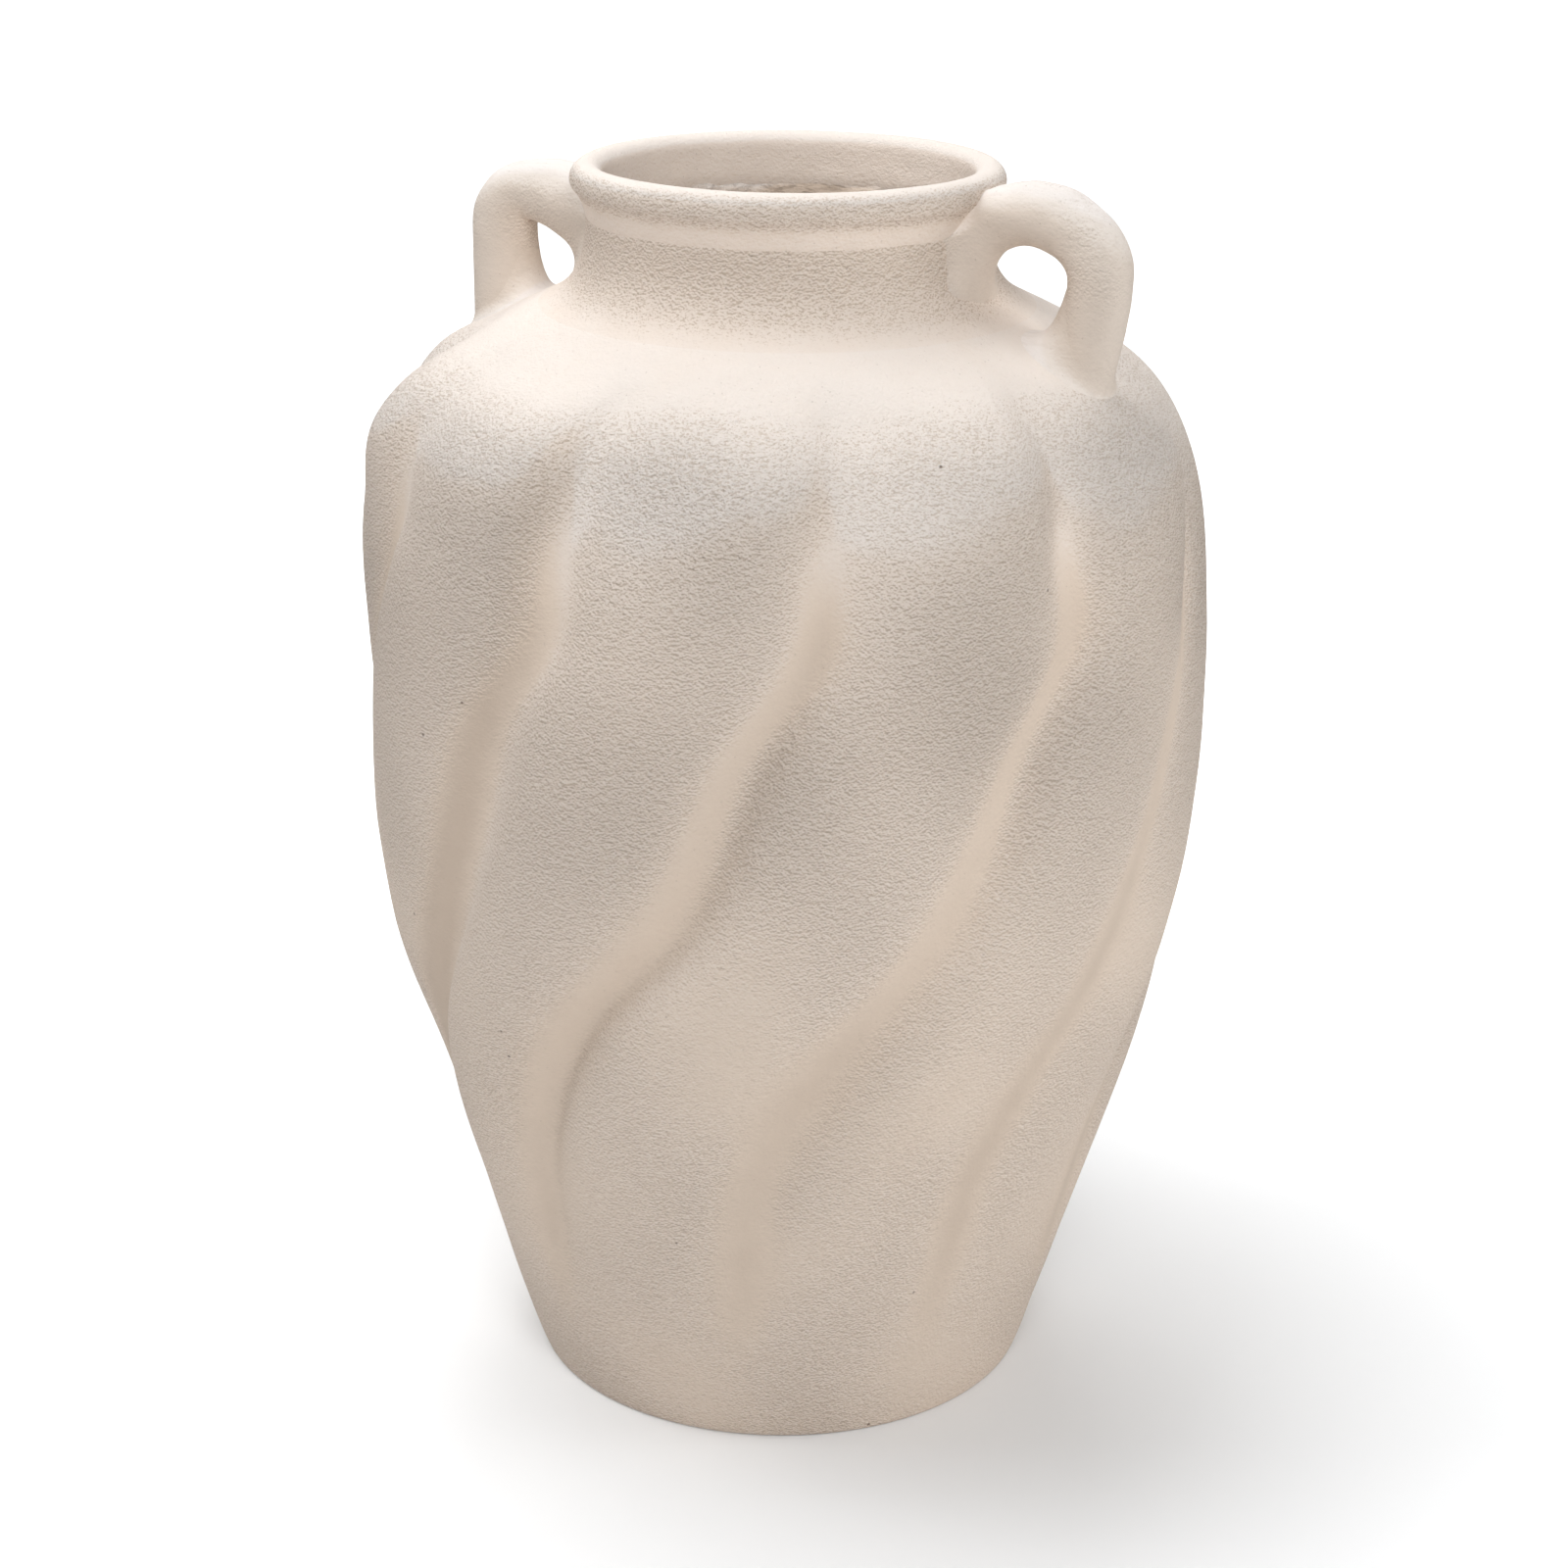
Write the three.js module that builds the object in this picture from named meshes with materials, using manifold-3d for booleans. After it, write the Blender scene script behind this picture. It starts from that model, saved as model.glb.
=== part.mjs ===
// Two-handled ceramic urn vase with ten twisted lobes, in millimetres, +Z up.
// The vase stands on z = 0 with its axis on the Z axis and its handles on +X and -X.
import * as THREE from 'three';
import { mergeVertices } from 'three/addons/utils/BufferGeometryUtils.js';
import Module from 'manifold-3d';

const wasm = await Module();
wasm.setup();

// Driving dimensions of the lobed wall, from the foot to its mouth ring.
const baseRadius = 103.5;
const baseEdge = 3;
const bellyRadius = 170;
const bellyHeight = 300;
const bodyHeight = 446;
const bodyWall = 11;
const slabThickness = 14;

// How the wall's outline fills out, as shares of the stretch from the foot or the mouth to the belly.
const lowerSwell = 0.64;
const lowerSwellHeight = 0.47;
const lowerFullness = 0.61;
const shoulderFullness = 0.76;
const shoulderSpread = 0.9;

// The neck is a separate collar, set on the flat mouth ring.
const neckHeight = 33;
const neckRadius = 78;
const neckWall = 8;
const neckFlare = 17;
const mouthRingWidth = 13;
const shoulderSlope = 0.48;
const neckEase = 0.53;
const neckStraightening = 0.35;

// The rim is a rolled coil on top of the collar, with a fillet under it.
const rimHeight = 21;
const rimRollRadius = 6.4;
const rimOverhang = 6.2;
const rimFilletBulge = 0.5;
const rimFilletDrop = 3;

// Lobes pressed into the wall, twisted as they rise. A lobe's crest leans towards the crease
// on its right below the belly, and towards the one on its left at the shoulder.
const lobeCount = 10;
const lobeTwist = THREE.MathUtils.degToRad(50.5);
const twistStart = 60;
const twistEndBelowMouth = 16;
const twistWander = THREE.MathUtils.degToRad(2);
const wanderMiddle = 190;
const wanderLength = 200;
const wanderFade = 40;
const lobeDepth = 9;
const shoulderLobeDepth = 12;
const lobeStart = 35;
const lobeFull = 190;
const lobeDeepestBelowMouth = 36;
const lobeEndBelowMouth = 2;
const crestPlace = 0.43;
const shoulderCrestPlace = 0.63;
const crestShift = 80;
const creaseSharpness = 3;
const creaseBottom = 0.14;

// Loop handles, each a pulled strap of clay bent in one plane.
const handleThickness = 24;
const handleWidth = 27;
const handleReach = 51.5;
const handleDrop = 12;
const handleRootDrop = 16;
const handleCrown = 9;
const handleCrownPlace = 0.4;
const handleFootLean = 3;
const handleBury = 20;
const handleCount = 2;

// Soft clay that holds the joints.
const wadSpread = 8;
const wadHeight = 10;
const wadLip = 1.5;
const lutingCoilRadius = 6;
const jointGap = 0.3;

// Facets.
const wallSides = 100;
const ringSides = 50;
const lowerRows = 12;
const upperRows = 14;
const innerStep = 2;
const collarRows = 7;
const rimSteps = 5;
const coilSides = 8;
const handleSides = 16;
const handleSteps = 26;
const wadSteps = 5;
const wadSides = 24;

// Places that follow from the sizes above.
const mouthRadius = neckRadius + neckFlare - mouthRingWidth;
const seamRadius = neckRadius + neckFlare;
const neckBore = neckRadius - neckWall;
const rimSeatHeight = bodyHeight + neckHeight;
const overallHeight = rimSeatHeight + rimHeight;

const clay = { roughness: 0.9, metalness: 0 };
const smooth = (from, to, value) => THREE.MathUtils.smoothstep(value, from, to);

// Outer outline of the body: two curves that meet upright at the belly.
const wallOutline = new THREE.CurvePath();
wallOutline.add(new THREE.CubicBezierCurve(
  new THREE.Vector2(baseRadius, 0),
  new THREE.Vector2(baseRadius + (bellyRadius - baseRadius) * lowerSwell, bellyHeight * lowerSwellHeight),
  new THREE.Vector2(bellyRadius, bellyHeight * lowerFullness),
  new THREE.Vector2(bellyRadius, bellyHeight)));
const shoulderRise = bodyHeight - bellyHeight;
const shoulderSpan = (bellyRadius - seamRadius) * shoulderSpread;
wallOutline.add(new THREE.CubicBezierCurve(
  new THREE.Vector2(bellyRadius, bellyHeight),
  new THREE.Vector2(bellyRadius, bellyHeight + shoulderRise * shoulderFullness),
  new THREE.Vector2(seamRadius + shoulderSpan, bodyHeight - shoulderSpan * shoulderSlope),
  new THREE.Vector2(seamRadius, bodyHeight)));

function outlineRows() {
  const lower = wallOutline.curves[0].getSpacedPoints(lowerRows);
  const upper = wallOutline.curves[1].getSpacedPoints(upperRows);
  const points = [...lower, ...upper.slice(1)];
  return points.map((point, i) => {
    const before = points[Math.max(i - 1, 0)];
    const after = points[Math.min(i + 1, points.length - 1)];
    const along = after.clone().sub(before).normalize();
    return { r: point.x, z: point.y, outR: along.y, outZ: -along.x };
  });
}

// Turn of the lobes at one height. The twist runs a little unevenly below the belly.
function lobeTurn(z) {
  const twist = lobeTwist * (smooth(twistStart, bodyHeight - twistEndBelowMouth, z) - 1);
  const swing = Math.sin(2 * Math.PI * (z - wanderMiddle) / wanderLength);
  const start = smooth(twistStart, 2 * twistStart, z);
  const end = smooth(bellyHeight - wanderFade, bellyHeight, z);
  return twist + twistWander * swing * start * (1 - end);
}

// Depth of the creases at one height.
function creaseDepth(z) {
  const deepest = bodyHeight - lobeDeepestBelowMouth;
  const end = bodyHeight - lobeEndBelowMouth;
  const rise = smooth(lobeStart, lobeFull, z);
  const swell = smooth(bellyHeight, deepest, z);
  const fade = 1 - smooth(deepest, end, z);
  return (lobeDepth * rise + (shoulderLobeDepth - lobeDepth) * swell) * fade;
}

// How far the wall lies inside its outline: a rounded crease on each side of a lobe, none on its crest.
function furrow(theta, z) {
  const place = lobeCount * (theta - lobeTurn(z)) / (2 * Math.PI) - 0.5;
  const share = place - Math.floor(place);
  const shift = smooth(bellyHeight, bellyHeight + crestShift, z);
  const crest = THREE.MathUtils.lerp(crestPlace, shoulderCrestPlace, shift);
  const away = share < crest ? share / crest : (1 - share) / (1 - crest);
  const rounded = (x) => Math.hypot(x, creaseBottom) - creaseBottom;
  const left = 1 - Math.min(rounded(away) / rounded(1), 1);
  return creaseDepth(z) * Math.pow(left, creaseSharpness);
}

// A point of the lobed wall, moved out along the outline's normal.
function wallPoint(row, theta, out) {
  const r = row.r + row.outR * out - furrow(theta, row.z);
  return [Math.max(r, 0), row.z + row.outZ * out];
}

// A closed solid from a loop of sections round the axis. Each section gives [r, z] at an angle.
// turnAt gives the turn of the corners at a height, so that facets can follow the lobes.
function turned(sections, around, turnAt = () => 0) {
  const positions = [];
  for (const section of sections) {
    const turn = turnAt(section(0)[1]);
    for (let j = 0; j < around; j += 1) {
      const theta = 2 * Math.PI * j / around + turn;
      const [r, z] = section(theta);
      positions.push(r * Math.cos(theta), r * Math.sin(theta), z);
    }
  }
  const index = [];
  const count = sections.length;
  for (let i = 0; i < count; i += 1) {
    for (let j = 0; j < around; j += 1) {
      const a = i * around + j;
      const b = i * around + (j + 1) % around;
      const c = ((i + 1) % count) * around + (j + 1) % around;
      const d = ((i + 1) % count) * around + j;
      index.push(a, b, d, b, c, d);
    }
  }
  const geometry = new THREE.BufferGeometry();
  geometry.setAttribute('position', new THREE.Float32BufferAttribute(positions, 3));
  geometry.setIndex(index);
  return welded(geometry);
}

// Shared corners merged, and triangles without area dropped.
function welded(source) {
  const bare = new THREE.BufferGeometry();
  bare.setAttribute('position', source.getAttribute('position'));
  bare.setIndex(source.getIndex());
  const merged = mergeVertices(bare, 1e-4);
  const old = merged.getIndex().array;
  const kept = [];
  for (let i = 0; i < old.length; i += 3) {
    const [a, b, c] = [old[i], old[i + 1], old[i + 2]];
    if (a !== b && b !== c && c !== a) kept.push(a, b, c);
  }
  merged.setIndex(kept);
  return merged;
}

const fixed = (r, z) => () => [r, z];
const ring = (points) => turned(points.map((point) => fixed(point.x, point.y)), ringSides);

function toManifold(geometry) {
  return new wasm.Manifold(new wasm.Mesh({
    numProp: 3,
    vertProperties: new Float32Array(geometry.getAttribute('position').array),
    triVerts: new Uint32Array(geometry.getIndex().array),
  }));
}

function fromManifold(solid) {
  const mesh = solid.getMesh();
  const geometry = new THREE.BufferGeometry();
  geometry.setAttribute('position', new THREE.Float32BufferAttribute(mesh.vertProperties, 3));
  geometry.setIndex(Array.from(mesh.triVerts));
  return geometry;
}

const rows = outlineRows();

// Inner face of the wall, straight from the foot to the first full row.
const innerFootHeight = slabThickness + bodyWall;
const footRow = rows.find((row) => row.z > innerFootHeight);
const innerFoot = wallPoint(footRow, 0, -bodyWall);
const innerBase = [baseRadius - bodyWall, 0];

function innerRadiusNearBase(z) {
  const share = z / innerFoot[1];
  return innerBase[0] + (innerFoot[0] - innerBase[0]) * share;
}

// Lobed body: outer skin up, mouth ring, inner skin down.
function bodyShell() {
  const sections = [fixed(baseRadius - baseEdge, 0), fixed(baseRadius, baseEdge)];
  const skin = rows.filter((row) => row.z > 2 * baseEdge);
  for (const row of skin) sections.push((theta) => wallPoint(row, theta, 0));
  sections.push(fixed(mouthRadius, bodyHeight));
  sections.push(fixed(mouthRadius, bodyHeight - bodyWall));
  const inner = rows.filter((row, i) => i % innerStep === 0 && row.z > footRow.z
    && row.r > mouthRadius + 2 * bodyWall);
  for (const row of inner.reverse()) sections.push((theta) => wallPoint(row, theta, -bodyWall));
  sections.push(fixed(...innerFoot));
  sections.push(fixed(...innerBase));
  return turned(sections, wallSides, lobeTurn);
}

// Floor slab, dropped into the foot of the wall.
function baseSlab() {
  return turned([
    fixed(0, 0),
    fixed(innerRadiusNearBase(0) - jointGap, 0),
    fixed(innerRadiusNearBase(slabThickness) - jointGap, slabThickness),
    fixed(0, slabThickness),
  ], ringSides);
}

// Outer outline of the neck, from the shoulder seam to the seat of the rim.
const neckFoot = bodyHeight + jointGap;
const neckTop = rimSeatHeight - jointGap;
const neckOutline = new THREE.CubicBezierCurve(
  new THREE.Vector2(seamRadius, neckFoot),
  new THREE.Vector2(seamRadius - neckFlare * neckEase, neckFoot + neckFlare * neckEase * shoulderSlope),
  new THREE.Vector2(neckRadius, neckFoot + (neckTop - neckFoot) * neckStraightening),
  new THREE.Vector2(neckRadius, neckTop));

function neckCollar() {
  const points = neckOutline.getSpacedPoints(collarRows);
  points.push(new THREE.Vector2(neckBore, neckTop), new THREE.Vector2(neckBore, neckFoot));
  return ring(points);
}

// Rolled rim: a fillet under the roll, the roll itself and a straight bore.
const rollCentre = new THREE.Vector2(
  neckRadius + rimOverhang - rimRollRadius,
  overallHeight - rimRollRadius);
const rollStart = THREE.MathUtils.degToRad(-62);
const rollEnd = THREE.MathUtils.degToRad(172);

function rimOutline() {
  const path = new THREE.Path();
  path.moveTo(neckRadius, rimSeatHeight);
  const under = new THREE.Vector2(Math.cos(rollStart), Math.sin(rollStart));
  under.multiplyScalar(rimRollRadius).add(rollCentre);
  path.quadraticCurveTo(neckRadius + rimFilletBulge, under.y - rimFilletDrop, under.x, under.y);
  path.absarc(rollCentre.x, rollCentre.y, rimRollRadius, rollStart, rollEnd, false);
  const points = path.getPoints(rimSteps);
  return points.filter((point, i) => i === 0 || point.distanceTo(points[i - 1]) > jointGap);
}

function rimRoll() {
  return ring([...rimOutline(), new THREE.Vector2(neckBore, rimSeatHeight)]);
}

// Coil of soft clay inside the joint, in the corner of mouth ring and collar.
function lutingCoil() {
  const centre = new THREE.Vector2(
    mouthRadius - jointGap - lutingCoilRadius, bodyHeight - lutingCoilRadius);
  const points = [];
  for (let i = 0; i < coilSides; i += 1) {
    const angle = 2 * Math.PI * i / coilSides;
    points.push(new THREE.Vector2(Math.cos(angle), Math.sin(angle))
      .multiplyScalar(lutingCoilRadius).add(centre));
  }
  return ring(points);
}

// Everything that a handle or a wad is pressed against, grown by the joint gap.
function pressedAgainst() {
  const buried = bellyHeight;
  const sections = [fixed(0, buried)];
  for (const row of rows.filter((row) => row.z > buried)) {
    sections.push((theta) => wallPoint(row, theta, jointGap));
  }
  for (const point of neckOutline.getSpacedPoints(collarRows).slice(1)) {
    sections.push(fixed(point.x + jointGap, point.y));
  }
  for (const point of rimOutline().slice(1)) {
    const outward = point.clone().sub(rollCentre).normalize().multiplyScalar(jointGap);
    if (point.x > rollCentre.x) sections.push(fixed(point.x + outward.x, point.y + outward.y));
  }
  sections.push(fixed(rollCentre.x, overallHeight + jointGap));
  sections.push(fixed(0, overallHeight + jointGap));
  return toManifold(turned(sections, wallSides, lobeTurn));
}

// Centre line of the right handle: from inside the neck over the top, down, and straight into the shoulder.
const handleOut = neckRadius + handleReach;
const footRadius = handleOut - handleFootLean;
const footHeight = rows.find((row) => row.z > bellyHeight && row.r < footRadius).z;
const handleTop = overallHeight - handleDrop;
const handleMiddle = (handleTop + footHeight) / 2;
const inPlane = (r, z) => new THREE.Vector3(r, 0, z);
const handleLine = new THREE.CurvePath();
handleLine.add(new THREE.CubicBezierCurve3(
  inPlane(neckRadius - neckWall, handleTop - handleRootDrop),
  inPlane(neckRadius + handleReach * handleCrownPlace, handleTop + handleCrown),
  inPlane(handleOut, handleTop),
  inPlane(handleOut, handleMiddle)));
handleLine.add(new THREE.CubicBezierCurve3(
  inPlane(handleOut, handleMiddle),
  inPlane(handleOut, (handleMiddle + footHeight) / 2),
  inPlane(footRadius, footHeight + wadHeight),
  inPlane(footRadius, footHeight)));
handleLine.add(new THREE.LineCurve3(
  inPlane(footRadius, footHeight),
  inPlane(footRadius, footHeight - handleBury)));

// Oval section swept along the centre line. grow widens it for the cut in the wad.
function handleTube(grow) {
  const section = new THREE.Shape();
  section.absellipse(0, 0, handleWidth / 2 + grow, handleThickness / 2 + grow, 0, 2 * Math.PI, false, 0);
  const sweep = new THREE.ExtrudeGeometry(section, {
    steps: handleSteps,
    curveSegments: handleSides / 4,
    extrudePath: handleLine,
  });
  sweep.deleteAttribute('normal');
  sweep.deleteAttribute('uv');
  const positions = sweep.getAttribute('position');
  const flat = new THREE.BufferGeometry();
  flat.setAttribute('position', positions);
  flat.setIndex([...Array(positions.count).keys()]);
  return toManifold(welded(flat));
}

// Wad of clay thumbed round the foot of the handle: a flared ring.
function footWad() {
  const top = handleWidth / 2 + wadLip;
  const spread = handleWidth / 2 + wadSpread;
  const outline = new THREE.Path();
  outline.moveTo(0, footHeight - handleBury);
  outline.lineTo(spread, footHeight - handleBury);
  outline.lineTo(spread, footHeight - wadHeight / 2);
  outline.quadraticCurveTo(top, footHeight, top, footHeight + wadHeight);
  outline.lineTo(0, footHeight + wadHeight);
  const lathe = new THREE.LatheGeometry(outline.getPoints(wadSteps), wadSides);
  lathe.rotateX(Math.PI / 2);
  lathe.translate(footRadius, 0, 0);
  return toManifold(welded(lathe));
}

const pieces = [
  ['base_slab', baseSlab(), 0xcabcae],
  ['body_shell', bodyShell(), 0xdbcec2],
  ['neck_collar', neckCollar(), 0xdccfc4],
  ['rim_roll', rimRoll(), 0xdfd3c9],
  ['neck_luting_coil', lutingCoil(), 0xcabcae],
];

const group = new THREE.Group();
for (const [name, geometry, color] of pieces) {
  const mesh = new THREE.Mesh(geometry, new THREE.MeshStandardMaterial({ ...clay, color }));
  mesh.name = name;
  group.add(mesh);
}

const wall = pressedAgainst();
const handle = handleTube(0).subtract(wall);
const wad = footWad().subtract(wall).subtract(handleTube(jointGap));
const sides = ['right', 'left'];
for (let side = 0; side < handleCount; side += 1) {
  const turn = new THREE.Group();
  turn.rotation.z = side * 2 * Math.PI / handleCount;
  for (const [kind, solid, color] of [['handle', handle, 0xdccfc4], ['handle_wad', wad, 0xd8cabd]]) {
    const material = new THREE.MeshStandardMaterial({ ...clay, color });
    const mesh = new THREE.Mesh(fromManifold(solid), material);
    mesh.name = `${kind}_${sides[side]}`;
    turn.add(mesh);
  }
  group.add(turn);
}

export default group;
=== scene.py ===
# Two-handled ceramic urn vase with twisted lobes, in matte off-white clay.
import math

import bpy
import numpy as np
from mathutils import Matrix, Vector, noise
from mathutils.bvhtree import BVHTree


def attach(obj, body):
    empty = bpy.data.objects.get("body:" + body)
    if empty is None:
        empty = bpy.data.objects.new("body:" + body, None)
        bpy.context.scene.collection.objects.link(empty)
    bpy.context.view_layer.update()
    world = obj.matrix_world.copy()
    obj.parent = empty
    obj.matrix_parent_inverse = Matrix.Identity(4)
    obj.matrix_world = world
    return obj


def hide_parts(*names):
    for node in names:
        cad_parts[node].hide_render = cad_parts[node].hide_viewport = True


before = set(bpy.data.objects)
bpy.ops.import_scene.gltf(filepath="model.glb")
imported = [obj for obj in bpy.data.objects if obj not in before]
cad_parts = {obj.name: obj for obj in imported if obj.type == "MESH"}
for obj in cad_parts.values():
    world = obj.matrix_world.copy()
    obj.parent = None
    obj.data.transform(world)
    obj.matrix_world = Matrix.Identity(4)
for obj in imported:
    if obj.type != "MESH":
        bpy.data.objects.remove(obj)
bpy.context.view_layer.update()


# Camera. It looks down on the vase from above its rim, one and a bit metres away,
# with the right handle turned towards it.
CAMERA_DISTANCE = 1.2296
CAMERA_HEIGHT = 0.6892
CAMERA_PITCH = math.radians(19.86)
CAMERA_ROLL = math.radians(0.396)
CAMERA_TURN = math.radians(27.1)
LENS_MM = 73.14
SENSOR_MM = 36

camera_data = bpy.data.cameras.new("photo_camera")
camera_data.lens = LENS_MM
camera_data.sensor_width = SENSOR_MM
camera = bpy.data.objects.new("photo_camera", camera_data)
bpy.context.collection.objects.link(camera)
aim = Matrix.Rotation(CAMERA_TURN, 4, "Z")
place = Matrix.Translation((0, -CAMERA_DISTANCE, CAMERA_HEIGHT))
tilt = Matrix.Rotation(math.radians(90) - CAMERA_PITCH, 4, "X")
camera.matrix_world = aim @ place @ tilt @ Matrix.Rotation(CAMERA_ROLL, 4, "Z")
bpy.context.scene.camera = camera
bpy.context.scene.view_settings.view_transform = "Standard"


# Studio. A white floor that runs out of sight, lit by five soft panels: overhead, high at
# the back, high at the left, low at the right and in front, with dim pale walls around.
WHITE_FLOOR = (0.925, 0.94, 0.955, 1)
# For the camera the floor glows: least at the middle of the vase's shade, which is a bit right of
# the vase and nearer, and FAR_LIFT more from FAR_END metres on.
FLOOR_LIFT = 0.01
FAR_LIFT = 1.1
FAR_END = 1.0
SHADE_MIDDLE = (0.058, -0.057, 0)
FLOOR_SIZE = 40
WORLD_LEVEL = 0.04
PANEL_SIZE = 1.0
PANEL_AIM = (0, 0, 0.25)

bpy.ops.mesh.primitive_plane_add(size=FLOOR_SIZE)
floor = bpy.context.active_object
floor.name = "studio_floor"


class Wire:
    """A shader socket that can be used in Python sums."""

    def __init__(self, tree, socket):
        self.tree = tree
        self.socket = socket

    def _maths(self, operation, *inputs):
        return node(self.tree, "ShaderNodeMath", {"operation": operation}, dict(enumerate(inputs)))

    def __add__(self, other):
        return self._maths("ADD", self, other)

    def __sub__(self, other):
        return self._maths("SUBTRACT", self, other)

    def __mul__(self, other):
        return self._maths("MULTIPLY", self, other)


def node(tree, kind, settings, sockets, output=0):
    """Adds a shader node, sets it up, feeds its sockets and returns one output."""
    made = tree.nodes.new(kind)
    for key, value in settings.items():
        setattr(made, key, value)
    for key, value in sockets.items():
        if isinstance(value, Wire):
            tree.links.new(value.socket, made.inputs[key])
        else:
            made.inputs[key].default_value = value
    return Wire(tree, made.outputs[output]) if made.outputs else None


def new_material(name):
    """An empty material, and the tree of nodes to fill."""
    material = bpy.data.materials.new(name)
    material.use_nodes = True
    material.node_tree.nodes.clear()
    return material, material.node_tree


def seen_directly(tree):
    """One for rays from the camera and for mirror rays, none for the light that falls on the vase."""
    straight = node(tree, "ShaderNodeLightPath", {}, {}, "Is Camera Ray")
    return straight + node(tree, "ShaderNodeLightPath", {}, {}, "Is Glossy Ray")


floor_look, tree = new_material("studio_floor")
paper = node(tree, "ShaderNodeBsdfDiffuse", {}, {"Color": WHITE_FLOOR})
spot = node(tree, "ShaderNodeTexCoord", {}, {}, "Object")
middle = Matrix.Rotation(CAMERA_TURN, 3, "Z") @ Vector(SHADE_MIDDLE)
distance = node(tree, "ShaderNodeVectorMath", {"operation": "DISTANCE"}, {0: spot, 1: middle}, "Value")
farther = node(tree, "ShaderNodeMapRange", {}, {
    "Value": distance, "From Max": FAR_END, "To Max": FAR_LIFT}, "Result")
glow = node(tree, "ShaderNodeEmission", {}, {"Strength": seen_directly(tree) * (farther + FLOOR_LIFT)})
both = node(tree, "ShaderNodeAddShader", {}, {0: paper, 1: glow})
node(tree, "ShaderNodeOutputMaterial", {}, {"Surface": both})
floor.data.materials.append(floor_look)

world = bpy.data.worlds.new("studio_walls")
world.use_nodes = True
bpy.context.scene.world = world
tree = world.node_tree
tree.nodes.clear()
walls = node(tree, "ShaderNodeBackground", {}, {"Color": (1, 1, 1, 1), "Strength": WORLD_LEVEL})
white = node(tree, "ShaderNodeBackground", {}, {"Color": (1, 1, 1, 1), "Strength": 1.0})
shown = node(tree, "ShaderNodeMixShader", {}, {"Fac": seen_directly(tree), 1: walls, 2: white})
node(tree, "ShaderNodeOutputWorld", {}, {"Surface": shown})


def panel(name, place, watts):
    """A soft box lamp, placed as seen from the camera: right, away, up."""
    lamp = bpy.data.lights.new(name, "AREA")
    lamp.shape = "RECTANGLE"
    lamp.size = PANEL_SIZE
    lamp.size_y = PANEL_SIZE
    lamp.energy = watts
    holder = bpy.data.objects.new(name, lamp)
    bpy.context.collection.objects.link(holder)
    turn = Matrix.Rotation(CAMERA_TURN, 3, "Z")
    at = turn @ Vector(place)
    direction = turn @ Vector(PANEL_AIM) - at
    holder.location = at
    holder.rotation_euler = direction.to_track_quat("-Z", "Y").to_euler()


panel("overhead_panel", (-0.4, 0.15, 2.05), 12.5)
panel("rear_panel", (0, 1.2, 1.9), 11)
panel("left_panel", (-1.4, 0, 1.5), 9.5)
panel("right_panel", (2.0, -0.2, 0.6), 11.5)
panel("front_panel", (0.2, -1.8, 1.5), 22)


# Floor slab. A disc of rolled clay, dropped into the foot of the wall and pressed
# down, with rings left by the wheel on its upper side. It is unglazed inside.
SLAB_RADIUS = 0.0915
SLAB_TOP_RADIUS = 0.0985
SLAB_THICKNESS = 0.0137
SLAB_SIDES = 48
SLAB_RINGS = 7
SLAB_RING_WAVE = 0.0006
SLAB_EDGE = 0.002

# Clay colours from bare to thickly washed: raw inside, washed outside, and on the handles.
RAW_TINTS = ((0.45, 0.35, 0.27), (0.60, 0.50, 0.42), (0.68, 0.58, 0.50), (0.72, 0.63, 0.56))
WASH_TINTS = ((0.64, 0.520, 0.42), (0.83, 0.695, 0.577), (0.91, 0.80, 0.71), (0.93, 0.85, 0.785))
HANDLE_TINTS = ((0.62, 0.53, 0.455), (0.79, 0.69, 0.60), (0.90, 0.82, 0.75), (0.93, 0.87, 0.83))
PIT_BROWN = (0.22, 0.14, 0.10)
# Painted light from above, put into the wash: the wash on upright faces, and how far up a face has to look
# for a full wash.
SIDE_WASH = 0.52
FULL_TOP_LIGHT_AT = 0.85
# The sandy grain: the size of its wrinkles and of its powder, how much wider than high they are,
# and the step upwards that tells a grain's upper side, with painted light, from its underside.
WRINKLE_SIZE = 0.0022
POWDER_SIZE = 0.0011
GRAIN_FLATNESS = 1.35
LEDGE_STEP = 0.0006
CLOUD_SIZE = 0.11
BLOTCH_SIZE = 0.016
# What the sand, the clouds, the blotches and the painted light on the upper sides of the grains add to the
# wash.
SAND_ADDS, CLOUDS_ADD, BLOTCHES_ADD, GRAIN_LIGHT_ADDS = 0.1, 0.22, 0.12, 5
# How much wash turns each tint into the next, and which grain undersides get painted shade in the bare tint.
THIN_BAND, CREAM_BAND, THICK_BAND = (-0.15, 0.5), (0.35, 0.85), (0.85, 1.05)
UNDERSIDE_SHADE_BAND = (-0.01, -0.08)
# Pits and specks: spacing, radius and depth.
PIT_SPACING, PIT_RADIUS, PIT_DEPTH = 0.011, 0.0008, 0.0006
SPECK_SPACING, SPECK_RADIUS, SPECK_DEPTH = 0.0030, 0.0004, 0.0003
SPECK_SHARE = 0.6
# Finger wipes: their width, its share of their length, and how they lean.
WIPE_WIDTH = 0.0030
WIPE_SQUEEZE = 0.12
WIPE_LEAN = math.radians(-38)


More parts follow.
